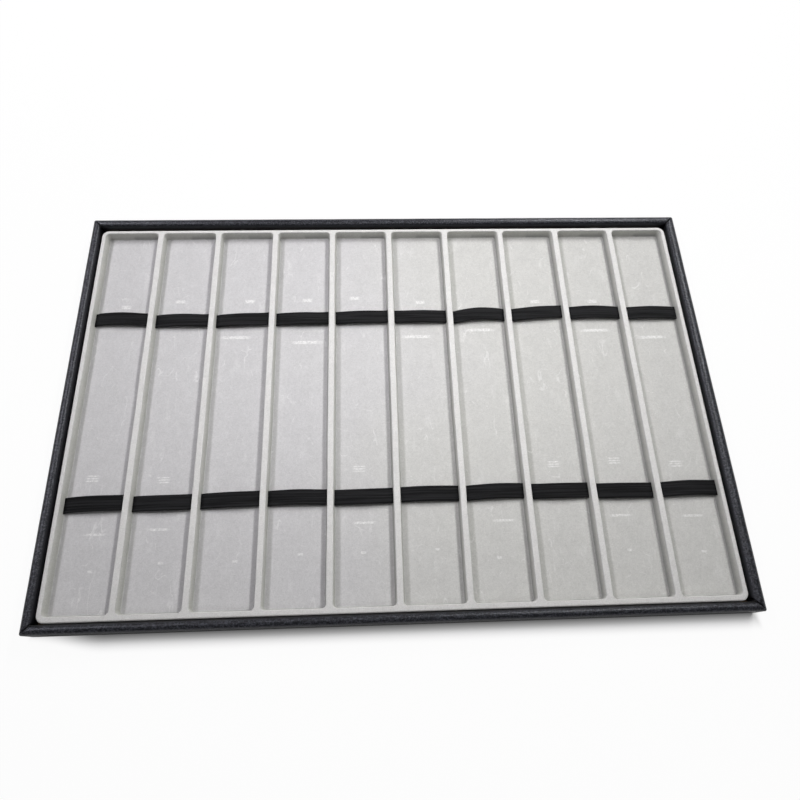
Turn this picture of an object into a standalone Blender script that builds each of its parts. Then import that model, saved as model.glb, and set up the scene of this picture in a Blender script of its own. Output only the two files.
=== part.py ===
# Watch display tray: a wrapped board frame round a one-piece flocked insert
# with ten long compartments, crossed by two elastic bands.
# Metres, +Z up. The origin is the middle of the underside, +X runs along the
# row of compartments and +Y points to the back.

from math import cos, pi, sin, sqrt

import bmesh
import bpy
from mathutils import Vector

# Outside of the tray
TRAY_WIDTH = 0.350
TRAY_LENGTH = 0.2315
RAIL_WIDTH = 0.0049
RAIL_ABOVE_RIM = 0.0016
RAIL_EDGE_RADIUS = 0.0018
BOTTOM_EDGE_RADIUS = 0.0008

# Boards and their covering
BASE_THICKNESS = 0.005
BASE_EDGE_BEVEL = 0.0004
LEATHERETTE = 0.0006
TURN_IN = 0.012

# Insert, formed from one sheet
SHEET = 0.0006
POCKET_DEPTH = 0.0053
COMPARTMENTS = 10
RIDGE_WIDTH = 0.0032
RIM_LAND = 0.0026
INSERT_CORNER = 0.004
POCKET_CORNER = 0.003
WALL_DRAFT = 0.0005
TOP_EDGE_RADIUS = 0.0005
FLOOR_FILLET = 0.0007

# Elastic bands
BAND_WIDTH = 0.008
BAND_THICKNESS = 0.0009
BAND_EDGE = 0.00025
BAND_ABOVE_FLOOR = 0.0018
BAND_BOW = 0.0006
BAND_BACK_Y = 0.0497
BAND_FRONT_Y = -0.0556
BAND_TAIL = 0.002
BAND_BEND_RADIUS = 0.0006

# Clearances
SEAT_GAP = 0.0003
INSERT_GAP = 0.0007
SLIT_CLEARANCE = 0.0003

# Roundness of the mesh
CORNER_STEPS = 4
EDGE_STEPS = 3
RAIL_STEPS = 6
BAND_STEPS = 8
SMOOTH_ANGLE = 0.6

# Heights that follow from the sizes above
BASE_BOTTOM = LEATHERETTE + SEAT_GAP
BASE_TOP = BASE_BOTTOM + BASE_THICKNESS
INSERT_BOTTOM = BASE_TOP + SEAT_GAP
FLOOR_TOP = INSERT_BOTTOM + SHEET
RIM_TOP = FLOOR_TOP + POCKET_DEPTH
RAIL_TOP = RIM_TOP + RAIL_ABOVE_RIM
BAND_BOTTOM = FLOOR_TOP + BAND_ABOVE_FLOOR

# Plan of the insert and of its compartments
INSERT_HALF_X = TRAY_WIDTH / 2 - RAIL_WIDTH - INSERT_GAP
INSERT_HALF_Y = TRAY_LENGTH / 2 - RAIL_WIDTH - INSERT_GAP
ROW_WIDTH = 2 * (INSERT_HALF_X - RIM_LAND)
POCKET_WIDTH = (ROW_WIDTH - (COMPARTMENTS - 1) * RIDGE_WIDTH) / COMPARTMENTS
POCKET_PITCH = POCKET_WIDTH + RIDGE_WIDTH
POCKET_HALF_Y = INSERT_HALF_Y - RIM_LAND


def clear_scene():
    for thing in list(bpy.data.objects):
        bpy.data.objects.remove(thing, do_unlink=True)


def make_material(name, colour, roughness):
    material = bpy.data.materials.new(name)
    material.use_nodes = True
    shader = material.node_tree.nodes["Principled BSDF"]
    shader.inputs["Base Color"].default_value = (*colour, 1.0)
    shader.inputs["Roughness"].default_value = roughness
    shader.inputs["Metallic"].default_value = 0.0
    material.diffuse_color = (*colour, 1.0)
    return material


def add_object(name, bm, material=None):
    bmesh.ops.recalc_face_normals(bm, faces=bm.faces)
    mesh = bpy.data.meshes.new(name)
    bm.to_mesh(mesh)
    bm.free()
    mesh.shade_smooth()
    mesh.set_sharp_from_angle(angle=SMOOTH_ANGLE)
    thing = bpy.data.objects.new(name, mesh)
    bpy.context.scene.collection.objects.link(thing)
    if material is not None:
        mesh.materials.append(material)
    return thing


def add_cutter(name, bm):
    cutter = add_object(name, bm)
    cutter.hide_render = True
    cutter.display_type = "WIRE"
    return cutter


def cut(body, cutter):
    modifier = body.modifiers.new(cutter.name, "BOOLEAN")
    modifier.operation = "DIFFERENCE"
    modifier.solver = "EXACT"
    modifier.object = cutter


def loft(bm, rings):
    """Joins rings of points into one closed body with flat ends."""
    loops = [[bm.verts.new(point) for point in ring] for ring in rings]
    count = len(loops[0])
    for lower, upper in zip(loops, loops[1:]):
        for i in range(count):
            j = (i + 1) % count
            bm.faces.new((lower[i], lower[j], upper[j], upper[i]))
    bm.faces.new(list(reversed(loops[0])))
    bm.faces.new(loops[-1])


def add_box(bm, low, high):
    corners = [(low[0], low[1]), (high[0], low[1]), (high[0], high[1]), (low[0], high[1])]
    loft(bm, [[(x, y, z) for x, y in corners] for z in (low[2], high[2])])


def arc(centre, radius, start, end, steps):
    """Points on an arc in a plane, angles in quarter turns."""
    points = []
    for i in range(steps + 1):
        angle = (start + (end - start) * i / steps) * pi / 2
        points.append((centre[0] + radius * cos(angle), centre[1] + radius * sin(angle)))
    return points


def rounded_rectangle(half_x, half_y, radius, z, centre_x=0.0):
    ring = []
    for turn, (sign_x, sign_y) in enumerate(((1, 1), (-1, 1), (-1, -1), (1, -1))):
        centre = (centre_x + sign_x * (half_x - radius), sign_y * (half_y - radius))
        ring += [(x, y, z) for x, y in arc(centre, radius, turn, turn + 1, CORNER_STEPS)]
    return ring


# Frame

def mitred_strip(bm, profile, side):
    """Runs a profile of (inward, height) points along one side of the tray."""
    setback = SEAT_GAP / sqrt(2)
    along_x = side in ("front", "back")
    across = TRAY_LENGTH / 2 if along_x else TRAY_WIDTH / 2
    reach = TRAY_WIDTH / 2 if along_x else TRAY_LENGTH / 2
    outward = -1 if side in ("front", "left") else 1
    rings = []
    for end in (-1, 1):
        ring = []
        for inward, height in profile:
            offset = outward * (across - inward)
            travel = end * (reach - inward - setback)
            ring.append((travel, offset, height) if along_x else (offset, travel, height))
        rings.append(ring)
    loft(bm, rings)


def wrap_profile():
    """Leatherette folded over a rail and turned in under the base."""
    inner_face = RAIL_WIDTH
    top_radius = min(RAIL_EDGE_RADIUS, RAIL_WIDTH / 2)
    bend = max(top_radius - LEATHERETTE, 0.0002)
    low_bend = max(BOTTOM_EDGE_RADIUS - LEATHERETTE, 0.0001)
    outside = [(TURN_IN, 0.0)]
    outside += arc((BOTTOM_EDGE_RADIUS, BOTTOM_EDGE_RADIUS), BOTTOM_EDGE_RADIUS, 3, 2, EDGE_STEPS)
    outside += arc((top_radius, RAIL_TOP - top_radius), top_radius, 2, 1, RAIL_STEPS)
    outside += arc((inner_face - top_radius, RAIL_TOP - top_radius), top_radius, 1, 0, RAIL_STEPS)
    outside += [(inner_face, INSERT_BOTTOM)]
    inside = [(inner_face - LEATHERETTE, INSERT_BOTTOM)]
    inside_top = RAIL_TOP - LEATHERETTE - bend
    inside += arc((inner_face - LEATHERETTE - bend, inside_top), bend, 0, 1, RAIL_STEPS)
    inside += arc((LEATHERETTE + bend, inside_top), bend, 1, 2, RAIL_STEPS)
    low_centre = LEATHERETTE + low_bend
    inside += arc((low_centre, low_centre), low_bend, 2, 3, EDGE_STEPS)
    inside += [(TURN_IN, LEATHERETTE)]
    return outside + inside


def core_profile():
    """Board strip inside a wrapped rail, standing on the base."""
    skin = LEATHERETTE + SEAT_GAP
    near = skin
    far = RAIL_WIDTH - skin
    top = RAIL_TOP - skin
    radius = min(max(RAIL_EDGE_RADIUS - skin, 0.0002), (far - near) / 3)
    profile = [(far, INSERT_BOTTOM)]
    profile += arc((far - radius, top - radius), radius, 0, 1, RAIL_STEPS)
    profile += arc((near + radius, top - radius), radius, 1, 2, RAIL_STEPS)
    profile += [(near, INSERT_BOTTOM)]
    return profile


def build_frame(leatherette, board):
    for side in ("front", "back", "left", "right"):
        bm = bmesh.new()
        mitred_strip(bm, core_profile(), side)
        add_object(side + "_rail_core", bm, board)
        bm = bmesh.new()
        mitred_strip(bm, wrap_profile(), side)
        add_object(side + "_rail_leatherette", bm, leatherette)


def build_base(board, lining):
    skin = LEATHERETTE + SEAT_GAP
    half_x = TRAY_WIDTH / 2 - skin
    half_y = TRAY_LENGTH / 2 - skin
    bm = bmesh.new()
    add_box(bm, (-half_x, -half_y, BASE_BOTTOM), (half_x, half_y, BASE_TOP))
    base = add_object("base_board", bm, board)
    bevel = base.modifiers.new("edge", "BEVEL")
    bevel.width = BASE_EDGE_BEVEL
    bevel.segments = 1
    half_x = TRAY_WIDTH / 2 - TURN_IN - SEAT_GAP
    half_y = TRAY_LENGTH / 2 - TURN_IN - SEAT_GAP
    bm = bmesh.new()
    add_box(bm, (-half_x, -half_y, 0.0), (half_x, half_y, LEATHERETTE))
    add_object("underside_lining", bm, lining)


# Insert

def pocket_centres():
    first = -(COMPARTMENTS - 1) / 2 * POCKET_PITCH
    return [first + i * POCKET_PITCH for i in range(COMPARTMENTS)]


def add_pocket(bm, centre_x, levels):
    """One compartment as a stack of (outward offset, height) outlines."""
    rings = []
    for offset, height in levels:
        rings.append(rounded_rectangle(POCKET_WIDTH / 2 + offset, POCKET_HALF_Y + offset,
                                       POCKET_CORNER + offset, height, centre_x))
    loft(bm, rings)


def pocket_levels():
    """Hollow above a compartment's floor, from the floor up to past the rim."""
    floor_wall = (-WALL_DRAFT - FLOOR_FILLET, FLOOR_TOP + FLOOR_FILLET)
    levels = arc(floor_wall, FLOOR_FILLET, 3, 4, EDGE_STEPS)
    levels += arc((TOP_EDGE_RADIUS, RIM_TOP - TOP_EDGE_RADIUS), TOP_EDGE_RADIUS, 2, 1, EDGE_STEPS)
    levels += [(TOP_EDGE_RADIUS, RIM_TOP + SHEET)]
    return levels


def shell_levels():
    """The same hollow grown by the sheet, run through top and bottom."""
    lowest = SHEET - WALL_DRAFT
    return [(lowest, INSERT_BOTTOM - 2 * SHEET), (lowest, FLOOR_TOP),
            (SHEET, RIM_TOP - TOP_EDGE_RADIUS), (SHEET, RIM_TOP + SHEET)]


def build_insert(flock):
    edge = arc((TOP_EDGE_RADIUS, RIM_TOP - TOP_EDGE_RADIUS), TOP_EDGE_RADIUS, 2, 1, EDGE_STEPS)
    rings = []
    for inward, height in [(0.0, INSERT_BOTTOM)] + edge:
        rings.append(rounded_rectangle(INSERT_HALF_X - inward, INSERT_HALF_Y - inward,
                                       INSERT_CORNER - inward, height))
    bm = bmesh.new()
    loft(bm, rings)
    insert = add_object("compartment_insert", bm, flock)

    bm = bmesh.new()
    for centre_x in pocket_centres():
        add_pocket(bm, centre_x, pocket_levels())
    cut(insert, add_cutter("cutter_compartments", bm))

    bm = bmesh.new()
    for centre_x in pocket_centres():
        add_pocket(bm, centre_x, shell_levels())
    solid_parts = add_cutter("cutter_compartment_shells", bm)
    bm = bmesh.new()
    loft(bm, [rounded_rectangle(INSERT_HALF_X - SHEET, INSERT_HALF_Y - SHEET,
                                INSERT_CORNER - SHEET, height)
              for height in (INSERT_BOTTOM - SHEET, RIM_TOP - SHEET)])
    hollow = add_cutter("cutter_hollow_underside", bm)
    cut(hollow, solid_parts)
    cut(insert, hollow)

    for name, band_y in (("front", BAND_FRONT_Y), ("back", BAND_BACK_Y)):
        reach = INSERT_HALF_X - SHEET - SEAT_GAP
        half_y = BAND_WIDTH / 2 + SLIT_CLEARANCE
        bm = bmesh.new()
        add_box(bm, (-reach, band_y - half_y, BAND_BOTTOM - SLIT_CLEARANCE),
                (reach, band_y + half_y, BAND_BOTTOM + BAND_THICKNESS + SLIT_CLEARANCE))
        cut(insert, add_cutter("cutter_slits_" + name, bm))


# Elastic bands

def band_route():
    """Middle line of a band as (x, z, tilt), from one tucked end to the other."""
    level = BAND_BOTTOM + BAND_THICKNESS / 2
    bend = BAND_BEND_RADIUS + BAND_THICKNESS / 2
    tail_x = INSERT_HALF_X - SHEET - SEAT_GAP - BAND_THICKNESS / 2
    route = []
    for i in range(EDGE_STEPS + 1):
        turn = i / EDGE_STEPS * pi / 2
        route.append((tail_x - bend * (1 - cos(turn)), level - bend * (1 - sin(turn)),
                      pi / 2 - turn))
    tail_end = (tail_x, level - bend - BAND_TAIL, pi / 2)
    right_end = [tail_end] + route
    left_end = [(-x, z, -tilt) for x, z, tilt in right_end]

    middle = []
    reach = POCKET_WIDTH / 2
    for centre_x in pocket_centres():
        for i in range(BAND_STEPS + 1):
            share = i / BAND_STEPS
            rise = BAND_BOW * sin(pi * share) ** 2
            slope = BAND_BOW * pi * sin(2 * pi * share) / (2 * reach)
            middle.append((centre_x - reach + 2 * reach * share, level + rise, -slope))
    return left_end + middle + list(reversed(right_end))


def build_band(name, band_y, elastic):
    half_w = BAND_WIDTH / 2
    half_t = BAND_THICKNESS / 2
    section = [(-half_w + BAND_EDGE, -half_t), (half_w - BAND_EDGE, -half_t),
               (half_w, -half_t + BAND_EDGE), (half_w, half_t - BAND_EDGE),
               (half_w - BAND_EDGE, half_t), (-half_w + BAND_EDGE, half_t),
               (-half_w, half_t - BAND_EDGE), (-half_w, -half_t + BAND_EDGE)]
    rings = []
    for x, z, tilt in band_route():
        normal = Vector((sin(tilt), 0.0, cos(tilt)))
        middle = Vector((x, band_y, z))
        rings.append([middle + Vector((0.0, across, 0.0)) + normal * out
                      for across, out in section])
    bm = bmesh.new()
    loft(bm, rings)
    add_object(name, bm, elastic)


def build_tray():
    clear_scene()
    leatherette = make_material("black leatherette", (0.018, 0.018, 0.021), 0.48)
    board = make_material("board", (0.33, 0.22, 0.13), 0.8)
    lining = make_material("black lining", (0.015, 0.015, 0.016), 0.9)
    flock = make_material("grey flock", (0.52, 0.51, 0.50), 0.9)
    elastic = make_material("black elastic", (0.010, 0.010, 0.011), 0.7)
    build_base(board, lining)
    build_frame(leatherette, board)
    build_insert(flock)
    build_band("front_elastic_band", BAND_FRONT_Y, elastic)
    build_band("back_elastic_band", BAND_BACK_Y, elastic)


build_tray()
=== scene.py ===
import math

import bmesh
import bpy
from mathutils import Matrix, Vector, noise


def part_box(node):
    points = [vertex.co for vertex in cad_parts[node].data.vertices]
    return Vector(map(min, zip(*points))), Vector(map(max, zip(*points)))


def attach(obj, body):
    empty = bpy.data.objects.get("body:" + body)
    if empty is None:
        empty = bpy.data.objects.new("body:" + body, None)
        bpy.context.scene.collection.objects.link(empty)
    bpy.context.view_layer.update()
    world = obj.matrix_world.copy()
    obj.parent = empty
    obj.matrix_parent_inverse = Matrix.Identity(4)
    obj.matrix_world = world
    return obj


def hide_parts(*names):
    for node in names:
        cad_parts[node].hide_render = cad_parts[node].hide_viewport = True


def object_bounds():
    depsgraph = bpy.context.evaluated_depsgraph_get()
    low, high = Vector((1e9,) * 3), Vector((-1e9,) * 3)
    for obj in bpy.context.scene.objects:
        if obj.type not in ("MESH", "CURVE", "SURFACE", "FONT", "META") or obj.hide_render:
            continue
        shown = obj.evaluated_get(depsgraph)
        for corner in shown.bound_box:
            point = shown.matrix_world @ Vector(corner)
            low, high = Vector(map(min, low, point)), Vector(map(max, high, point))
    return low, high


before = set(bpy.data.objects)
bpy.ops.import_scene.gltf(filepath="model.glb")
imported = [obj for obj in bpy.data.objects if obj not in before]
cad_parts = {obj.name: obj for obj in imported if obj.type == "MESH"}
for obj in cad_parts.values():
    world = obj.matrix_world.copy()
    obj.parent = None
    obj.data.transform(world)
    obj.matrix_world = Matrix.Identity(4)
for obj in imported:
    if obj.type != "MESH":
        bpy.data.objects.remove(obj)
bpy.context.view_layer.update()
print("frame loaded")

insertLow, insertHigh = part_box("compartment_insert")
rimTop = insertHigh[2]
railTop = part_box("front_rail_leatherette")[1][2]
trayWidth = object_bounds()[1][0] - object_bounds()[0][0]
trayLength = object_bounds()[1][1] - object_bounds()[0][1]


# Materials

class Wire:
    # an output socket; sums written on it become Math nodes
    def __init__(self, paint, socket):
        self.paint = paint
        self.socket = socket

    def combine(self, operation, other, swapped=False):
        pair = (other, self) if swapped else (self, other)
        return self.paint.add("ShaderNodeMath", {"operation": operation}, {0: pair[0], 1: pair[1]})

    def __add__(self, other):
        return self.combine("ADD", other)

    def __radd__(self, other):
        return self.combine("ADD", other, True)

    def __sub__(self, other):
        return self.combine("SUBTRACT", other)

    def __rsub__(self, other):
        return self.combine("SUBTRACT", other, True)

    def __mul__(self, other):
        return self.combine("MULTIPLY", other)

    def __rmul__(self, other):
        return self.combine("MULTIPLY", other, True)

    def __neg__(self):
        return self * -1.0

    def size(self):
        return self.combine("ABSOLUTE", 0.0)

    def down(self):
        return self.combine("FLOOR", 0.0)

    def atLeast(self, other):
        return self.combine("MAXIMUM", other)

    def atMost(self, other):
        return self.combine("MINIMUM", other)

    def step(self, low, high):
        # 0 below low, 1 above high, smooth between
        return self.paint.add("ShaderNodeMapRange", {"interpolation_type": "SMOOTHSTEP"},
                              {"Value": self, "From Min": low, "From Max": high})


class Paint:
    # the nodes of one material, or of the world
    def __init__(self, name, world=None):
        self.material = world or bpy.data.materials.new(name)
        self.material.use_nodes = True
        self.tree = self.material.node_tree
        self.tree.nodes.clear()
        self.place = self.add("ShaderNodeTexCoord", out="Generated" if world else "Object")
        split = self.node("ShaderNodeSeparateXYZ", inputs={0: self.place})
        self.x = Wire(self, split.outputs[0])
        self.y = Wire(self, split.outputs[1])
        self.z = Wire(self, split.outputs[2])

    def node(self, kind, settings=None, inputs=None):
        made = self.tree.nodes.new(kind)
        for key, value in (settings or {}).items():
            setattr(made, key, value)
        for key, value in (inputs or {}).items():
            if isinstance(value, Wire):
                self.tree.links.new(value.socket, made.inputs[key])
            else:
                made.inputs[key].default_value = value
        return made

    def add(self, kind, settings=None, inputs=None, out=0):
        return Wire(self, self.node(kind, settings, inputs).outputs[out])

    def noise(self, scale, detail=2.0, roughness=0.5, place=None, distortion=0.0):
        return self.add("ShaderNodeTexNoise", None,
                        {"Vector": place or self.place, "Scale": scale, "Detail": detail,
                         "Roughness": roughness, "Distortion": distortion})

    def stretched(self, turn, shrink, shift=0.0):
        # object coordinates turned about Z and stretched; shift picks another part of the noise
        return self.add("ShaderNodeMapping", None,
                        {"Vector": self.place, "Rotation": (0, 0, turn), "Scale": shrink,
                         "Location": (shift, shift * 0.7, 0)})

    def blend(self, factor, first, second):
        return self.add("ShaderNodeMix", {"data_type": "RGBA"},
                        {0: factor, 6: first, 7: second}, 2)

    def bump(self, height, distance, strength=1.0, normal=None):
        inputs = {"Height": height, "Distance": distance, "Strength": strength}
        if normal is not None:
            inputs["Normal"] = normal
        return self.add("ShaderNodeBump", None, inputs)

    def seen(self, offGloss=1.0):
        # 1 for rays that show the backdrop: straight to the camera, or off gloss and through glass
        path = self.node("ShaderNodeLightPath")
        camera, gloss, clear = (Wire(self, path.outputs["Is %s Ray" % kind])
                                for kind in ("Camera", "Glossy", "Transmission"))
        return camera.atLeast(gloss * offGloss).atLeast(clear)

    def finish(self, inputs):
        shader = self.node("ShaderNodeBsdfPrincipled", None, inputs)
        self.node("ShaderNodeOutputMaterial", None, {0: Wire(self, shader.outputs[0])})
        return self.material


def grey(level):
    return (level, level, level, 1.0)


leatheretteLook = {
    "colour": (0.0030, 0.0032, 0.0046, 1.0),
    "raised": (0.0170, 0.0172, 0.0215, 1.0),
    # lighter grain for the rails' tops: a painted highlight
    "wearAndHighlight": (0.078, 0.079, 0.096, 1.0),
    "sheen": (0.90, 0.92, 1.0, 1.0),
    "specular": 0.42,
    "roughness": 0.27,
    "broadRoughness": 0.06,
    "creaseRoughness": 0.08,
    "pebbles": 900.0,            # per metre, as the next ones
    "creases": (240.0, 1500.0),  # along and across each of the two sets
    "grainTops": 1200.0,
    "grainDepth": 0.00005,
    "broadDepth": 0.0005,
    "highlightBelowTop": (0.0014, 0.0002),    # where the lighter grain of the painted highlight begins and is full
}


def leatheretteMaterial():
    look = leatheretteLook
    p = Paint("grainedLeatherette")
    cells = p.add("ShaderNodeTexVoronoi", {"feature": "DISTANCE_TO_EDGE"},
                  {"Vector": p.place, "Scale": look["pebbles"]})
    pebble = cells.step(0.0, 0.25)
    few, many = look["creases"]
    alongX = p.noise(1.0, 2.0, 0.6, p.stretched(0.0, (few, many, many)))
    alongY = p.noise(1.0, 2.0, 0.6, p.stretched(0.0, (many, few, many), 3.0))
    creases = alongX.atLeast(alongY).step(0.46, 0.66)
    broad = p.noise(55.0, 3.0)
    patchy = p.noise(330.0, 3.0, 0.6).step(0.35, 0.65)
    begins, full = look["highlightBelowTop"]
    # the raised and top grain grow lighter towards the rails' tops: painted highlight
    top = p.z.step(railTop - begins, railTop - full)
    wearAndHighlight = p.noise(160.0, 4.0, 0.65) * 0.7 + 0.3
    grainTops = p.noise(look["grainTops"], 2.0, 0.7).step(0.46, 0.62) * wearAndHighlight
    colour = p.blend(creases * patchy * (top * 0.7 + 0.3), look["colour"], look["raised"])
    colour = p.blend(top * grainTops, colour, look["wearAndHighlight"])
    rough = look["roughness"] + broad * look["broadRoughness"]
    rough = rough + (1 - creases) * look["creaseRoughness"]
    normal = p.bump(broad, look["broadDepth"], 0.3)
    normal = p.bump(pebble * 0.5 + creases * 0.5, look["grainDepth"], 1.0, normal)
    return p.finish({"Base Color": colour, "Roughness": rough, "Normal": normal,
                     "Specular IOR Level": look["specular"], "Specular Tint": look["sheen"]})


flockLook = {
    "floor": (0.575, 0.568, 0.577, 1.0),
    "floorLampTint": (0.580, 0.577, 0.560, 1.0),    # towards the right, a painted colour cast of the right-hand lamp
    # painted shade at the foot of the compartment walls, painted light towards their tops
    "wallFootShade": (0.470, 0.470, 0.446, 1.0),
    "wallFootRightShade": (0.330, 0.332, 0.320, 1.0),    # painted shade, deeper on the wall at the right of a compartment
    "wallTopLit": (0.640, 0.640, 0.606, 1.0),
    "rim": (0.680, 0.673, 0.662, 1.0),
    "mark": (0.86, 0.855, 0.85, 1.0),
    "cornerShadeColour": (0.02, 0.02, 0.02, 1.0),
    "speck": (0.08, 0.075, 0.07, 1.0),
    "roughness": 0.92,
    "rimRoughness": 0.5,
    "specular": 0.25,
    "grainDepth": 0.00010,
    "broadDepth": 0.0003,
    # painted shade: how much darker the floor is along its edges, from where and how far out
    "cornerShade": ((0.14, 0.0, 0.0008), (0.12, 0.0003, 0.0045)),
    # how strongly each kind of mark shows
    "scratches": 0.34,
    "smears": 0.18,
    "rubs": 0.75,
    "streaks": 0.25,
    "dots": 0.35,
    "specks": 0.8,
    # uneven tone: waves per metre and strength
    "mottle": (130.0, 0.16),
    "coarse": (620.0, 0.22),
    "fuzz": (1500.0, 0.5),
    # scratches: turn, waves per metre, width, shift
    "scratchLayers": [(0.10, (55.0, 16.0, 1.0), 0.006, 0.0),
                      (-0.35, (60.0, 20.0, 1.0), 0.005, 3.7),
                      (0.5, (38.0, 30.0, 1.0), 0.005, 9.1),
                      (1.2, (30.0, 30.0, 1.0), 0.004, 14.3)],
    # rubs: place along the compartment, half sizes, number of lines, share of compartments with it
    "rubRows": [(0.0620, (0.0026, 0.0011), 1, 0.75),
                (0.0385, (0.0075, 0.0009), 1, 0.50),
                (-0.0400, (0.0030, 0.0004), 3, 0.75),
                (-0.0665, (0.0050, 0.0006), 1, 0.65),
                (-0.0850, (0.0012, 0.0006), 1, 0.70)],
    "rubStray": (0.008, 0.007),    # how far a rub may lie from its place, across and along
    "rubGap": 3.2,           # from one line of a rub to the next, in half widths
}


def nearLine(value, width):
    # 1 where value is close to nought, so a noise makes thin wandering lines
    return 1 - value.size().step(width * 0.4, width)


def patch(across, along, half, soft=0.35):
    # soft rectangle round nought, half being its half sizes
    sides = across.size().step(half[0] * (1 - soft), half[0] * (1 + soft))
    ends = along.size().step(half[1] * (1 - soft), half[1] * (1 + soft))
    return (1 - sides) * (1 - ends)


def strongest(layers):
    total = layers[0]
    for layer in layers[1:]:
        total = total.atLeast(layer)
    return total


def compartmentPlace(p):
    # a number for each compartment, and the place across it from its middle
    pitch = centres[1] - centres[0]
    slot = p.x * (1 / pitch) + insertLook["compartments"] / 2
    number = slot.down()
    return number, (slot - number - 0.5) * pitch


def scratchMarks(p):
    # wandering lines cut short by a broad noise
    layers = []
    for turn, waves, width, shift in flockLook["scratchLayers"]:
        wander = p.noise(1.0, 3.0, 0.45, p.stretched(turn, waves, shift), 0.3)
        where = p.noise(1.0, 2.0, 0.6, p.stretched(0.0, (110.0, 60.0, 1.0), shift + 1.3))
        layers.append(nearLine(wander - 0.5, width) * where.step(0.54, 0.68))
    return strongest(layers)


def rubMarks(p, number, across):
    # pale rubs where buckles and lugs lay
    strayX, strayY = flockLook["rubStray"]
    wearAndHighlight = p.noise(900.0, 3.0, 0.7).step(0.40, 0.60) * 0.65 + 0.35
    gap = flockLook["rubGap"]
    layers = []
    for row, (along, half, lines, share) in enumerate(flockLook["rubRows"]):
        dice = p.node("ShaderNodeTexWhiteNoise", {"noise_dimensions": "1D"}, {"W": number + row * 17.3})
        pick = p.node("ShaderNodeSeparateXYZ", None, {0: Wire(p, dice.outputs["Color"])})
        sideways, lengthways, chance = (Wire(p, pick.outputs[i]) for i in range(3))
        offX, offY = (sideways - 0.5) * strayX, (lengthways - 0.5) * strayY
        chosen = chance.step(1 - share - 0.01, 1 - share)
        for line in range(lines):
            place = along + (line - (lines - 1) / 2) * half[1] * gap
            layers.append(patch(across - offX, p.y - offY - place, half) * chosen * wearAndHighlight)
    return strongest(layers)


def flockMaterial():
    look = flockLook
    p = Paint("greyFlock")
    onFloor = 1 - p.z.step(floorTop + 0.00002, floorTop + 0.0003)
    onRim = p.z.step(rimTop - 0.0012, rimTop - 0.0001)
    tint = p.noise(9.0, 2.0) * 0.4 + p.x * (0.8 / trayWidth) + 0.3    # rises to the right with a random wander; the rise is a painted colour cast of the right-hand lamp
    mottle = p.noise(look["mottle"][0], 4.0, 0.6)
    fuzz = p.noise(look["fuzz"][0], 3.0, 0.8)
    coarse = p.noise(look["coarse"][0], 3.0, 0.6)
    number, across = compartmentPlace(p)

    floorColour = p.blend(tint.step(0.35, 0.65), look["floor"], look["floorLampTint"])
    # painted shade at the walls' foot, deeper on the right-hand wall, and painted light towards their
    # tops
    foot = p.blend(across.step(-0.001, 0.001), look["wallFootShade"], look["wallFootRightShade"])
    climb = p.z.step(floorTop - 0.0004, rimTop - 0.0006)
    colour = p.blend(onFloor, p.blend(climb, foot, look["wallTopLit"]), floorColour)
    colour = p.blend(onRim, colour, look["rim"])

    smears = p.noise(1.0, 4.0, 0.65, p.stretched(0.05, (160.0, 60.0, 1.0), 5.5)).step(0.55, 0.75)
    streaks = p.noise(1.0, 3.0, 0.6, p.stretched(0.08, (1300.0, 60.0, 1.0), 8.1)).step(0.60, 0.72)
    streaks = streaks * p.noise(1.0, 2.0, 0.5, p.stretched(0.0, (90.0, 45.0, 1.0), 2.2)).step(0.5, 0.7)
    dots = p.noise(700.0, 2.0, 0.6).step(0.70, 0.74) * tint.step(0.40, 0.55)
    marks = strongest([scratchMarks(p) * look["scratches"], smears * look["smears"],
                       rubMarks(p, number, across) * look["rubs"], streaks * look["streaks"],
                       dots * look["dots"]]) * onFloor
    colour = p.blend(marks, colour, look["mark"])

    toEnd = halfLength - (p.y + insertLook["pocketsToFront"]).size()
    toWall = (pocket / 2 - across.size()).atMost(toEnd)
    # painted shade along the floor's edges by the walls
    for share, near, far in look["cornerShade"]:
        colour = p.blend((1 - toWall.step(near, far)) * onFloor * share, colour, look["cornerShadeColour"])

    # a few dark specks, in 7 of 100 cells
    cells = p.node("ShaderNodeTexVoronoi", None, {"Vector": p.place, "Scale": 42.0})
    near = 1 - Wire(p, cells.outputs["Distance"]).step(0.010, 0.026)
    pick = p.node("ShaderNodeSeparateXYZ", None, {0: Wire(p, cells.outputs["Color"])})
    chosen = Wire(p, pick.outputs[0]).step(0.93, 0.94)
    colour = p.blend(near * chosen * look["specks"], colour, look["speck"])

    tone = 1.0 + (mottle - 0.5) * look["mottle"][1] + (fuzz - 0.5) * look["fuzz"][1]
    tone = tone + (coarse - 0.5) * look["coarse"][1]
    shade = p.add("ShaderNodeCombineColor", None, {0: tone, 1: tone, 2: tone})
    colour = p.add("ShaderNodeMix", {"data_type": "RGBA", "blend_type": "MULTIPLY"},
                   {0: 1.0, 6: colour, 7: shade}, 2)
    rough = look["roughness"] - marks * 0.2 - onRim * (look["roughness"] - look["rimRoughness"])
    normal = p.bump(fuzz, look["grainDepth"], 0.5, p.bump(mottle, look["broadDepth"], 0.3))
    return p.finish({"Base Color": colour, "Roughness": rough, "Normal": normal,
                     "Sheen Weight": 0.08, "Sheen Roughness": 0.5,
                     "Specular IOR Level": look["specular"]})


elasticLook = {
    "colour": (0.0012, 0.0013, 0.0018, 1.0),
    "rib": (0.0135, 0.0135, 0.0150, 1.0),
    "specular": 0.16,
    "roughness": 0.62,
    "threads": 2100.0,       # cross threads per metre
    "cords": (25.0, 1100.0, 60.0),    # waves per metre along the band, across it and through it
    "depth": 0.00006,
}


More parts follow.
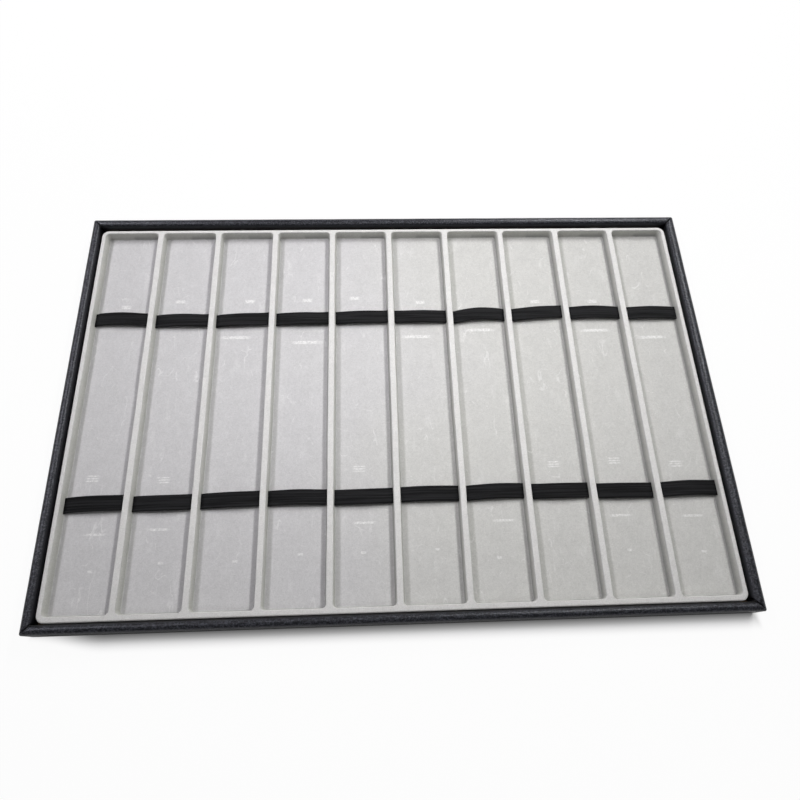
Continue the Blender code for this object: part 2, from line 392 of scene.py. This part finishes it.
def elasticMaterial():
    look = elasticLook
    p = Paint("ribbedElastic")
    wave = p.add("ShaderNodeMath", {"operation": "SINE"}, {0: p.x * (look["threads"] * 2 * math.pi)})
    threads = wave * 0.5 + 0.5
    cords = p.noise(1.0, 2.0, 0.5, p.stretched(0.0, look["cords"])).step(0.38, 0.62)
    fuzz = p.noise(4200.0, 2.0, 0.7)
    colour = p.blend(cords * 0.8 + threads * 0.2, look["colour"], look["rib"])
    normal = p.bump(threads * 0.4 + cords * 0.6 + fuzz * 0.4, look["depth"], 0.8)
    return p.finish({"Base Color": colour, "Roughness": look["roughness"] + fuzz * 0.2,
                     "Normal": normal, "Specular IOR Level": look["specular"]})


boardLook = {
    "fibreboard": ((0.22, 0.14, 0.08, 1.0), (0.42, 0.30, 0.19, 1.0)),
    "blackBoard": ((0.004, 0.004, 0.005, 1.0), (0.014, 0.013, 0.013, 1.0)),
}


def boardMaterial(name):
    dark, light = boardLook[name]
    p = Paint(name)
    fibres = p.noise(1.0, 5.0, 0.7, p.stretched(0.4, (900.0, 700.0, 900.0)))
    colour = p.blend(fibres, dark, light)
    return p.finish({"Base Color": colour, "Roughness": 0.8 + fibres * 0.1,
                     "Normal": p.bump(fibres, 0.00008, 0.5)})


def liningMaterial():
    p = Paint("blackLining")
    fibres = p.noise(1500.0, 4.0, 0.7)
    broad = p.noise(40.0, 3.0)
    colour = p.blend(fibres * 0.6 + broad * 0.3, grey(0.010), grey(0.030))
    return p.finish({"Base Color": colour, "Roughness": 0.8 + broad * 0.1,
                     "Normal": p.bump(fibres, 0.00006, 0.7)})


# Mesh helpers

def newPiece(name, bm, material=None):
    bmesh.ops.recalc_face_normals(bm, faces=bm.faces)
    mesh = bpy.data.meshes.new(name)
    bm.to_mesh(mesh)
    bm.free()
    piece = bpy.data.objects.new(name, mesh)
    bpy.context.scene.collection.objects.link(piece)
    if material is not None:
        mesh.materials.append(material)
    return piece


def joinRings(bm, rings):
    # closed rings of points joined one to the next, and both ends capped
    loops = [[bm.verts.new(point) for point in ring] for ring in rings]
    count = len(loops[0])
    for lower, upper in zip(loops, loops[1:]):
        for i in range(count):
            j = (i + 1) % count
            bm.faces.new((lower[i], lower[j], upper[j], upper[i]))
    bm.faces.new(list(reversed(loops[0])))
    bm.faces.new(loops[-1])


def quarterArc(centre, radius, start, end, steps):
    # points on an arc, start and end counted in quarter turns
    points = []
    for i in range(steps + 1):
        angle = (start + (end - start) * i / steps) * math.pi / 2
        points.append((centre[0] + radius * math.cos(angle), centre[1] + radius * math.sin(angle)))
    return points


quarters = ((1, 1), (-1, 1), (-1, -1), (1, -1))    # signs of X and Y, in the order of the corners


def applyModifiers(piece):
    graph = bpy.context.evaluated_depsgraph_get()
    mesh = bpy.data.meshes.new_from_object(piece.evaluated_get(graph))
    piece.modifiers.clear()
    piece.data = mesh


def cutWith(piece, cutter):
    cutting = piece.modifiers.new("cut", "BOOLEAN")
    cutting.operation = "DIFFERENCE"
    cutting.solver = "EXACT"
    cutting.object = cutter
    applyModifiers(piece)
    bpy.data.objects.remove(cutter)


# Flocked insert

insertLook = {
    "sheet": 0.0006,
    "compartments": 10,
    "ridge": 0.0032,
    "endLand": 0.0025,       # at the front and back, to the compartments
    "outerCorner": 0.004,
    "pocketCorner": 0.0021,
    "draft": 0.0005,
    "topEdge": 0.00045,
    "rimEdge": 0.0009,
    "landX": 0.0024,
    "slackX": 0.0002,        # how much smaller than its seat the sheet was cut
    "toFront": 0.0012,       # it has slid forward in the frame
    "pocketsToFront": 0.0008,
    "floorFillet": 0.0007,
    "cornerSteps": 10,
    "edgeSteps": 5,
    "spacing": 0.006,        # points along the long walls
    "waver": 0.00012,        # how far the formed edges wander
    "waverWaves": (60, 45),    # per metre, across and along
    "sharpAngle": 0.7,       # edges turning by more than this stay sharp, in radians
}


def compartmentPlan():
    # width of a compartment, half its length, and the middles of them all
    look = insertLook
    count = look["compartments"]
    row = 2 * (insertHigh[0] - look["slackX"] - look["landX"])
    pocket = (row - (count - 1) * look["ridge"]) / count
    centres = [(i - (count - 1) / 2) * (pocket + look["ridge"]) for i in range(count)]
    return pocket, insertHigh[1] - look["endLand"], centres


floorTop = insertLow[2] + insertLook["sheet"]
pocket, halfLength, centres = compartmentPlan()


def pocketOutline(centreX, offset, z, waver):
    # closed ring round a compartment, offset outwards from its plain outline
    look = insertLook
    ring = []
    hx, hy, r = pocket / 2 + offset, halfLength + offset, look["pocketCorner"] + offset
    for turn, (sx, sy) in enumerate(quarters):
        corner = quarterArc((centreX + sx * (hx - r), sy * (hy - r)), r, turn, turn + 1,
                            look["cornerSteps"])
        ring += corner
        lastX, lastY = corner[-1]
        if sx == sy:      # along the short end
            nextX, steps = centreX - sx * (hx - r), 4
            ring += [(lastX + (nextX - lastX) * i / steps, lastY) for i in range(1, steps)]
        else:             # along the long wall
            nextY, steps = -sy * (hy - r), int(2 * halfLength / look["spacing"])
            ring += [(lastX, lastY + (nextY - lastY) * i / steps) for i in range(1, steps)]
    wavesX, wavesY = look["waverWaves"]
    points = []
    for x, y in ring:
        drift = noise.noise(Vector((x * wavesX, y * wavesY, centreX * 90))) * waver
        lean = noise.noise(Vector((y * wavesY, x * wavesX, centreX * 70 + 5))) * waver
        points.append((x + drift, y + lean * 0.5 - look["pocketsToFront"], z))
    return points


def compartmentTool(name, levels, waver=0.0):
    # one solid in each compartment, levels being (offset, height) from the foot up
    bm = bmesh.new()
    for centreX in centres:
        joinRings(bm, [pocketOutline(centreX, offset, z, waver) for offset, z in levels])
    return newPiece(name, bm)


def insertBlock(name, inset, levels, material=None):
    # rounded block inside the insert's own box
    look = insertLook
    halfX = insertHigh[0] - look["slackX"] - inset
    halfY = insertHigh[1] - inset
    radius = look["outerCorner"] - inset
    rings = []
    for inward, z in levels:
        ring = []
        for turn, (sx, sy) in enumerate(quarters):
            centre = (sx * (halfX - radius), sy * (halfY - radius) - look["toFront"])
            ring += [(x, y, z) for x, y in quarterArc(centre, radius - inward, turn, turn + 1,
                                                      look["cornerSteps"])]
        rings.append(ring)
    bm = bmesh.new()
    joinRings(bm, rings)
    return newPiece(name, bm, material)


def buildInsert(flock):
    look = insertLook
    foot, top, past = insertLow[2], rimTop, 0.001    # the tools reach past the insert
    fillet, edge, steps = look["floorFillet"], look["topEdge"], look["edgeSteps"]

    outer = quarterArc((look["rimEdge"], top - look["rimEdge"]), look["rimEdge"], 2, 1, steps)
    insert = insertBlock("flockedInsert", 0.0, [(0.0, foot)] + outer, flock)

    levels = quarterArc((-look["draft"] - fillet, floorTop + fillet), fillet, 3, 4, steps)
    levels += quarterArc((edge, top - edge), edge, 2, 1, steps)
    levels += [(edge, top + past)]
    cutWith(insert, compartmentTool("compartmentTool", levels, look["waver"]))

    # the underside is hollow between the compartments
    sheet, narrow = look["sheet"], look["sheet"] - look["draft"]
    shells = compartmentTool("shellTool", [(narrow, foot - 2 * past), (narrow, floorTop),
                                           (sheet, top - edge), (sheet, top + past)])
    hollow = insertBlock("hollowTool", sheet, [(0.0, foot - past), (0.0, top - sheet)])
    cutWith(hollow, shells)
    cutWith(insert, hollow)
    for row in ("front", "back"):
        cutWith(insert, slitTool(row))

    insert.data.shade_smooth()
    insert.data.set_sharp_from_angle(angle=look["sharpAngle"])
    weighted = insert.modifiers.new("flats", "WEIGHTED_NORMAL")
    weighted.keep_sharp = True
    weighted.weight = 100
    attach(insert, "root")
    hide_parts("compartment_insert")
    print("insert", len(insert.data.polygons), "faces")


# Elastic bands

bandLook = {
    "thickness": 0.0009,
    "belowRim": 0.0029,      # the band's top face at the walls
    "bow": 0.0006,
    "tail": 0.0016,
    "tailBend": 0.0006,
    "tailSteps": 6,
    "ribs": 6,
    "ribDepth": 0.00014,
    "ribPoints": 8,          # points across each rib
    "thinEdge": 0.45,        # share of the thickness lost at the long edges
    "steps": 22,
    "clearance": 0.0002,
    "dive": 0.0016,          # how far in from a wall an end turns down or up
    "diveShare": 0.65,       # share of an end's height that this turn takes
    "wobble": 0.00012,
    "aboveFloor": 0.00005,   # the slits keep this far off the floor
    "sharpAngle": 0.9,
    # for each compartment, in mm: lay at the left and right end, arch between them,
    # then height at the left and right end
    "back": [(1.0, 0.2, 0.6, -1.4, 0.3), (-0.4, -0.6, 0.3, -1.0, 0.5),
             (-0.6, 0.1, -0.1, -1.1, 0.6), (-0.2, -0.1, 0.0, -0.9, 0.6),
             (0.1, 0.5, 0.1, -0.3, 0.5), (0.6, 0.3, -0.1, -0.2, -0.3),
             (-0.4, 1.0, 1.4, -0.6, -0.8), (0.6, 2.8, 0.2, -0.5, -0.3),
             (1.6, 1.5, 0.5, -0.4, -0.5), (1.0, 1.0, 0.3, -0.4, -0.5)],
    "front": [(0.3, 1.0, 0.3, -1.4, 0.3), (0.3, 0.6, -0.1, -1.3, 0.3),
              (0.7, 1.5, 0.0, -1.3, 0.4), (1.4, 1.3, 0.3, -0.9, 0.4),
              (0.9, 1.3, -0.1, -0.2, 0.4), (1.6, 1.7, 0.1, -0.2, -0.4),
              (1.5, 2.2, 0.4, -0.3, -0.5), (1.7, 1.7, -0.1, -0.3, -0.4),
              (1.1, 0.9, -0.1, -0.3, -0.5), (0.9, 1.3, 0.5, -0.3, 0.0)],
}


def ribbedSection(width):
    # (sideways, height) round the band, ribs on its top and plain below
    look = bandLook
    thin = look["thickness"] / 2
    count = look["ribs"] * look["ribPoints"]
    top = []
    for i in range(count + 1):
        share = i / count
        rib = abs(math.sin(share * look["ribs"] * math.pi)) ** 0.6
        full = min(1.0, min(share, 1 - share) * look["ribs"] * 2.2)
        height = thin - look["ribDepth"] * (1 - rib) - thin * look["thinEdge"] * (1 - full)
        top.append((-width / 2 + width * share, height))
    under = [(y, -z) for y, z in reversed(top[::look["ribPoints"] // 2])]
    return top + under


def endRise(height, share):
    # what is left of an end's height at a share of the way from it
    close = math.exp(-((share * pocket / bandLook["dive"]) ** 2) * 0.7)
    turned = bandLook["diveShare"]
    return height * (turned * close + (1 - turned) * (1 - share) ** 3)


def bandMiddle(row):
    # x, sideways lay and height over the plain level, from the left wall to the right one
    look = bandLook
    route = []
    for number, centreX in enumerate(centres):
        left, right, arch, lowLeft, lowRight = (value / 1000 for value in look[row][number])
        for i in range(look["steps"] + 1):
            share = 0.5 - 0.5 * math.cos(math.pi * i / look["steps"])
            ease = math.sin(math.pi * share)
            rise = look["bow"] * ease ** 2 + endRise(lowLeft, share) + endRise(lowRight, 1 - share)
            wobble = noise.noise(Vector((number * 3.1 + share * 2.0, left * 900, arch * 900)))
            shift = left + (right - left) * share + arch * ease + wobble * look["wobble"]
            route.append((centreX - pocket / 2 + pocket * share, shift, rise))
    return route


def bandFrame(node):
    # half the band's width, its middle line and the height of the middle of its thickness
    low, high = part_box(node)
    level = rimTop - bandLook["belowRim"] - bandLook["thickness"] / 2
    return (high[1] - low[1]) / 2, (low[1] + high[1]) / 2, level


def slitTool(row):
    # the band's own way through the walls, with a little air round it
    half, middleY, level = bandFrame(row + "_elastic_band")
    air = bandLook["clearance"]
    reach = insertHigh[0] - insertLook["slackX"] - insertLook["sheet"] - air
    halfY, halfZ = half + air, bandLook["thickness"] / 2 + air
    lowest = floorTop + bandLook["aboveFloor"]
    middle = bandMiddle(row)
    route = [(-reach, middle[0][1], middle[0][2])] + middle + [(reach, middle[-1][1], middle[-1][2])]
    rings = []
    for x, shift, rise in route:
        left, right = middleY + shift - halfY, middleY + shift + halfY
        under = max(level + rise - halfZ, lowest)
        over = max(level + rise + halfZ, lowest + air)
        rings.append([(x, left, under), (x, right, under), (x, right, over), (x, left, over)])
    bm = bmesh.new()
    joinRings(bm, rings)
    return newPiece("slitTool", bm)


def buildBand(row, elastic):
    look = bandLook
    node = row + "_elastic_band"
    half, middleY, level = bandFrame(node)
    section = ribbedSection(2 * half)
    bend = look["tailBend"] + look["thickness"] / 2
    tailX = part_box(node)[1][0] - look["thickness"] / 2
    middle = bandMiddle(row)

    def tail(side, shift, rise):
        # from the folded tail up and round on to the level
        points = [(side * tailX, shift, level + rise - bend - look["tail"], side * math.pi / 2)]
        for i in range(look["tailSteps"] + 1):
            turn = i / look["tailSteps"] * math.pi / 2
            points.append((side * (tailX - bend * (1 - math.cos(turn))), shift,
                           level + rise - bend * (1 - math.sin(turn)), side * (math.pi / 2 - turn)))
        return points

    route = tail(-1, middle[0][1], middle[0][2])
    for i, (x, shift, rise) in enumerate(middle):
        before, after = middle[max(i - 1, 0)], middle[min(i + 1, len(middle) - 1)]
        slope = (after[2] - before[2]) / max(after[0] - before[0], 1e-6)
        tilt = -math.atan(slope) if 0 < i < len(middle) - 1 else 0.0
        route.append((x, shift, level + rise, tilt))
    route += reversed(tail(1, middle[-1][1], middle[-1][2]))
    rings = []
    for x, shift, z, tilt in route:
        outward = Vector((math.sin(tilt), 0.0, math.cos(tilt)))
        centre = Vector((x, middleY + shift, z))
        rings.append([centre + Vector((0.0, across, 0.0)) + outward * out for across, out in section])
    bm = bmesh.new()
    joinRings(bm, rings)
    band = newPiece(row + "Band", bm, elastic)
    band.data.shade_smooth()
    band.data.set_sharp_from_angle(angle=look["sharpAngle"])
    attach(band, "root")
    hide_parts(node)
    print(band.name, len(band.data.polygons), "faces")


# Leatherette wraps

wrapLook = {
    "rail": {"front": 0.0041, "back": 0.0049, "left": 0.0049, "right": 0.0049},
    "proud": {"front": 0.0006, "back": 0.0006, "left": 0.0, "right": 0.0011},
    "skin": 0.0006,
    "turnIn": 0.012,
    "crown": 2.1,            # power of the rounded top, 2 is an ellipse
    "outerDrop": 0.0020,     # how far the top falls to its outer and inner side
    "innerDrop": 0.0032,
    "crownSteps": (26, 14),    # outside and inside of the covering, as the next one
    "lowSteps": (5, 3),
    "lowRadius": 0.0008,
    "sideRings": (0.35, 0.6),    # on the outer side, as shares of the height
    "seamGap": 0.0003,
    "seamRound": 0.0006,
    "seamSink": 0.75,        # share of a full rounding
    "spacing": 0.0025,
    "endRings": (0.0, 0.0001, 0.00022, 0.0004, 0.0006, 0.001, 0.0018),    # way from a seam
    "plainFrom": 0.0035,     # where the plain run begins
    "uneven": 0.00007,
    "sharpAngle": 1.0,
}


def crownArc(start, end, top, drops, steps):
    # rounded rail top from the outer side to the inner one, as (inward, height)
    middle, half = (start + end) / 2, (end - start) / 2
    power = wrapLook["crown"]
    points = []
    for i in range(steps + 1):
        angle = math.pi * (1 - i / steps)
        across, up = math.cos(angle), math.sin(angle)
        drop = drops[0] if across < 0 else drops[1]
        across = math.copysign(abs(across) ** (2 / power), across)
        points.append((middle + half * across, top - drop + drop * up ** (2 / power)))
    return points


def wrapOutline(side):
    # (inward, height) round the folded covering, outer side first
    look = wrapLook
    skin, low = look["skin"], look["lowRadius"]
    rail = look["rail"][side] + look["proud"][side]
    foot = insertLow[2]
    drops = (look["outerDrop"], look["innerDrop"])
    outside = [(look["turnIn"], 0.0), (look["turnIn"] / 2, 0.0)]
    outside += quarterArc((low, low), low, 3, 2, look["lowSteps"][0])
    outside += [(0.0, railTop * share) for share in look["sideRings"]]
    outside += crownArc(0.0, rail, railTop, drops, look["crownSteps"][0])
    outside += [(rail, foot)]
    inside = [(rail - skin, foot)]
    inside += reversed(crownArc(skin, rail - skin, railTop - skin, [drop - skin for drop in drops],
                                look["crownSteps"][1]))
    inside += quarterArc((low, low), low - skin, 2, 3, look["lowSteps"][1])
    inside += [(look["turnIn"], skin)]
    return outside, inside


def outlineNormals(points):
    # outward direction at each point of an outline
    normals = []
    for i, (u, z) in enumerate(points):
        before, after = points[max(i - 1, 0)], points[min(i + 1, len(points) - 1)]
        du, dz = after[0] - before[0], after[1] - before[1]
        size = math.hypot(du, dz) or 1.0
        normals.append((-dz / size, du / size))
    return normals


def sunkAt(gap):
    # how far the covering turns down towards the seam, gap being the way from it
    edge = wrapLook["seamRound"]
    if gap >= edge:
        return 0.0
    return (edge - math.sqrt(edge ** 2 - (edge - gap) ** 2)) * wrapLook["seamSink"]


def buildWrap(side, leatherette):
    look = wrapLook
    outside, inside = wrapOutline(side)
    normals = outlineNormals(outside)
    along = side in ("front", "back")
    proud = look["proud"]
    across = (trayLength / 2 if along else trayWidth / 2) + proud[side]
    reach = trayWidth / 2 if along else trayLength / 2
    lowReach = reach + proud["left" if along else "front"]
    highReach = reach + proud["right" if along else "back"]
    sign = -1 if side in ("front", "left") else 1
    setback = look["seamGap"] / math.sqrt(2)
    ends = look["endRings"]
    steps = int((2 * reach) / look["spacing"])
    rings = []
    for k in range(steps + 1 + 2 * len(ends)):
        ring = []
        for index, (u, z) in enumerate(outside + inside):
            first, last = -(lowReach - u - setback), highReach - u - setback
            if k < len(ends):
                gap = ends[k]
                travel = first + gap
            elif k > steps + len(ends):
                gap = ends[2 * len(ends) + steps - k]
                travel = last - gap
            else:
                gap = look["plainFrom"]
                first, last = first + gap, last - gap
                travel = first + (last - first) * (k - len(ends)) / steps
            if index < len(outside) and z > 0:    # the seen side, a little uneven
                bumpy = noise.noise(Vector((travel * 70, u * 200 + sign * 7, z * 200 + across * 30)))
                move = bumpy * look["uneven"] * (1.0 if z > 0.001 else 0.0) - sunkAt(gap)
                u, z = u + normals[index][0] * move, z + normals[index][1] * move
            offset = sign * (across - u)
            ring.append((travel, offset, z) if along else (offset, travel, z))
        rings.append(ring)
    bm = bmesh.new()
    joinRings(bm, rings)
    wrap = newPiece(side + "RailWrap", bm, leatherette)
    wrap.data.shade_smooth()
    wrap.data.set_sharp_from_angle(angle=look["sharpAngle"])
    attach(wrap, "root")
    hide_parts(side + "_rail_leatherette")
    print(wrap.name, len(wrap.data.polygons), "faces")


# Floor, light and camera

stageLook = {
    "floorSize": 6.0,
    "floorColour": 0.93,
    "glow": 0.95,            # share of plain white that is seen in the floor, away from the tray
    "glowStart": -0.001,     # how far from the tray it begins and is full
    "glowFull": 0.0095,
    "glowAside": 2.0,
    "glowAtLeft": (0.006, 0.035),    # the shadow in front is narrower at the left end: by and over
    "glowOffInGloss": 0.030,
    "backdropTop": (0.10, 0.28),    # sine of the height where gloss loses the white backdrop
    "ambient": 0.15,
    # place, size across and along, watts, turn towards the back and spread in degrees, colour
    "lamps": {
        "rightNear": ((0.405, 0.25, 0.735), (0.10, 0.34), 0.49, -8, 90, (1.0, 1.0, 0.98)),
        "rightFar": ((0.405, 0.64, 0.735), (0.10, 0.44), 1.06, -28, 90, (1.0, 1.0, 0.98)),
        "leftNear": ((-0.80, 0.35, 1.15), (0.14, 0.50), 4.70, 25, 110, (1.0, 0.98, 1.03)),
        "leftFar": ((-0.80, 0.95, 1.15), (0.14, 0.70), 3.07, 5, 110, (1.0, 0.98, 1.03)),
        "centre": ((0.0, 0.02, 0.37), (0.26, 0.14), 0.044, 0, 50, (1.0, 1.0, 1.0)),
    },
}


def floorMaterial():
    look = stageLook
    p = Paint("paleTable")
    away = ((p.x.size() - trayWidth / 2) * look["glowAside"]).atLeast(p.y.size() - trayLength / 2)
    narrower, over = look["glowAtLeft"]
    away = away + (-p.x).step(trayWidth / 2 - over, trayWidth / 2) * narrower
    direct = Wire(p, p.node("ShaderNodeLightPath").outputs["Is Camera Ray"])
    away = away - (1 - direct) * look["glowOffInGloss"]
    glow = away.step(look["glowStart"], look["glowFull"]) * look["glow"]
    matte = p.add("ShaderNodeBsdfDiffuse", None, {"Color": grey(look["floorColour"])})
    white = p.add("ShaderNodeEmission", None, {"Color": grey(1.0), "Strength": 1.0})
    mixed = p.add("ShaderNodeMixShader", None, {0: p.seen() * glow, 1: matte, 2: white})
    p.node("ShaderNodeOutputMaterial", None, {0: mixed})
    return p.material


def buildStage():
    look = stageLook
    half = look["floorSize"] / 2
    bm = bmesh.new()
    corners = ((-1, -1), (1, -1), (1, 1), (-1, 1))
    bm.faces.new([bm.verts.new((x * half, y * half, 0.0)) for x, y in corners])
    newPiece("tableTop", bm, floorMaterial())

    world = bpy.data.worlds.new("studio")
    bpy.context.scene.world = world
    p = Paint("studio", world)
    low = 1 - p.z.step(*look["backdropTop"])
    strength = p.seen(low) * (1 - look["ambient"]) + look["ambient"]
    soft = p.add("ShaderNodeBackground", None, {"Color": grey(1.0), "Strength": strength})
    p.node("ShaderNodeOutputWorld", None, {0: soft})

    for name, (place, size, watts, turn, spread, colour) in look["lamps"].items():
        light = bpy.data.lights.new(name, "AREA")
        light.shape = "RECTANGLE"
        light.size, light.size_y = size
        light.energy = watts
        light.spread = math.radians(spread)
        light.color = colour
        lamp = bpy.data.objects.new(name, light)
        lamp.location = place
        lamp.rotation_euler = (math.radians(turn), math.atan2(place[0], place[2]), 0.0)
        lamp.visible_camera = False
        bpy.context.scene.collection.objects.link(lamp)


cameraLook = {
    "lens": 28.8,
    "place": (-0.0119, -0.1348, 0.3290),
    "turn": (22.64, -1.93, -1.93),
}


def placeCamera():
    data = bpy.data.cameras.new("photoView")
    data.sensor_width = 36.0
    data.lens = cameraLook["lens"]
    data.clip_start = 0.01
    camera = bpy.data.objects.new("photoView", data)
    camera.location = cameraLook["place"]
    camera.rotation_euler = [math.radians(angle) for angle in cameraLook["turn"]]
    bpy.context.scene.collection.objects.link(camera)
    bpy.context.scene.camera = camera


placeCamera()
buildStage()
print("stage and camera")

flock = flockMaterial()
elastic = elasticMaterial()
leatherette = leatheretteMaterial()
buildInsert(flock)
for row in ("back", "front"):
    buildBand(row, elastic)
for side in ("front", "back", "left", "right"):
    buildWrap(side, leatherette)

blackBoard = boardMaterial("blackBoard")
carried = {"base_board": boardMaterial("fibreboard"), "underside_lining": liningMaterial()}
for side in ("front", "back", "left", "right"):
    carried[side + "_rail_core"] = blackBoard
for node, material in carried.items():
    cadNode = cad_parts[node]
    cadNode.data.materials.clear()
    cadNode.data.materials.append(material)
print("materials on the carried nodes")

bpy.context.scene.view_settings.view_transform = "Standard"
